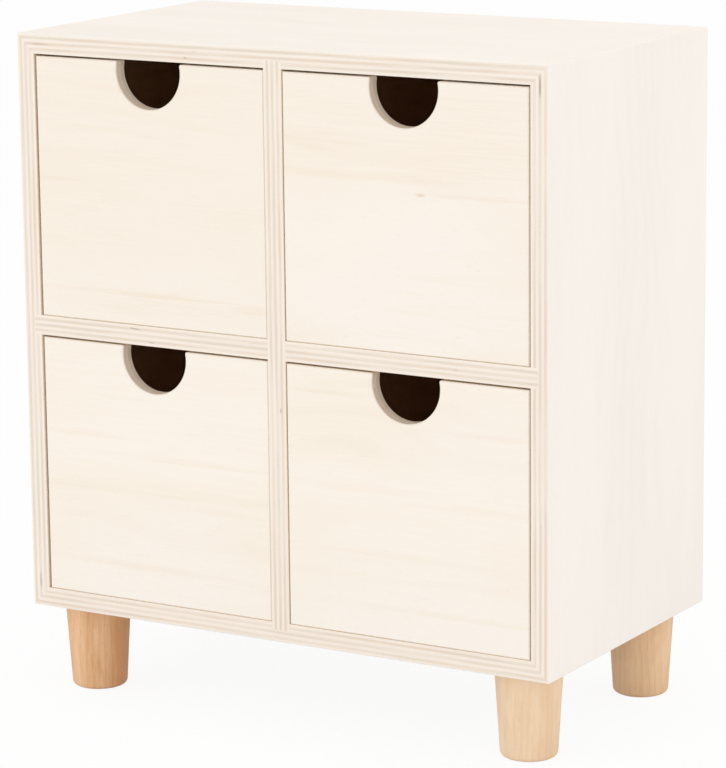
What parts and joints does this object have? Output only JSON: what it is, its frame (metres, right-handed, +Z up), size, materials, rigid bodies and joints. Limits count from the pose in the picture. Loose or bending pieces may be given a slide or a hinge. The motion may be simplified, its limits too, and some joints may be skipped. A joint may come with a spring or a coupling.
{
  "type": "drawer unit",
  "caption": "Small desktop drawer unit in pale plywood: mitred cabinet on turned, tapered feet, with inset drawers that slide out by round finger notches.",
  "frame": {"origin": "on the floor, below the middle of the cabinet", "axes": "+Z up, -Y out of the front, the way the drawers open, +X to the viewer's right"},
  "size_m": [0.24, 0.135, 0.272],
  "materials": {
    "board_plywood": "bare sanded seven-ply board, plies showing on the edges",
    "drawer_front_plywood": "bare sanded plywood, faint tan figure along the width",
    "thin_plywood": "bare thin plywood",
    "turned_beech": "turned, lightly oiled",
    "zinc_plated_steel": "zinc plated",
    "galvanised_wire": "galvanised flat wire"
  },
  "bodies": {
    "cabinet": {"top_board": "board_plywood", "bottom_board": "board_plywood", "left_side_board": "board_plywood", "right_side_board": "board_plywood", "vertical_divider": "board_plywood", "horizontal_shelf": "board_plywood", "back_panel": "thin_plywood", "back_panel_staples": "galvanised_wire", "foot_front_left": "turned_beech", "foot_front_right": "turned_beech", "foot_back_left": "turned_beech", "foot_back_right": "turned_beech", "foot_screws": "zinc_plated_steel"},
    "drawer_top_left": {"drawer_top_left_front": "drawer_front_plywood", "drawer_top_left_left_side": "thin_plywood", "drawer_top_left_right_side": "thin_plywood", "drawer_top_left_back": "thin_plywood", "drawer_top_left_bottom": "thin_plywood"},
    "drawer_top_right": {"drawer_top_right_front": "drawer_front_plywood", "drawer_top_right_left_side": "thin_plywood", "drawer_top_right_right_side": "thin_plywood", "drawer_top_right_back": "thin_plywood", "drawer_top_right_bottom": "thin_plywood"},
    "drawer_bottom_left": {"drawer_bottom_left_front": "drawer_front_plywood", "drawer_bottom_left_left_side": "thin_plywood", "drawer_bottom_left_right_side": "thin_plywood", "drawer_bottom_left_back": "thin_plywood", "drawer_bottom_left_bottom": "thin_plywood"},
    "drawer_bottom_right": {"drawer_bottom_right_front": "drawer_front_plywood", "drawer_bottom_right_left_side": "thin_plywood", "drawer_bottom_right_right_side": "thin_plywood", "drawer_bottom_right_back": "thin_plywood", "drawer_bottom_right_bottom": "thin_plywood"}
  },
  "joints": [
    {"name": "drawer_top_left_slide", "type": "slide", "parent": "cabinet", "child": "drawer_top_left", "axis": [0, -1, 0], "range_m": [0, 0.099]},
    {"name": "drawer_top_right_slide", "type": "slide", "parent": "cabinet", "child": "drawer_top_right", "axis": [0, -1, 0], "range_m": [0, 0.099]},
    {"name": "drawer_bottom_left_slide", "type": "slide", "parent": "cabinet", "child": "drawer_bottom_left", "axis": [0, -1, 0], "range_m": [0, 0.099]},
    {"name": "drawer_bottom_right_slide", "type": "slide", "parent": "cabinet", "child": "drawer_bottom_right", "axis": [0, -1, 0], "range_m": [0, 0.099]}
  ]
}
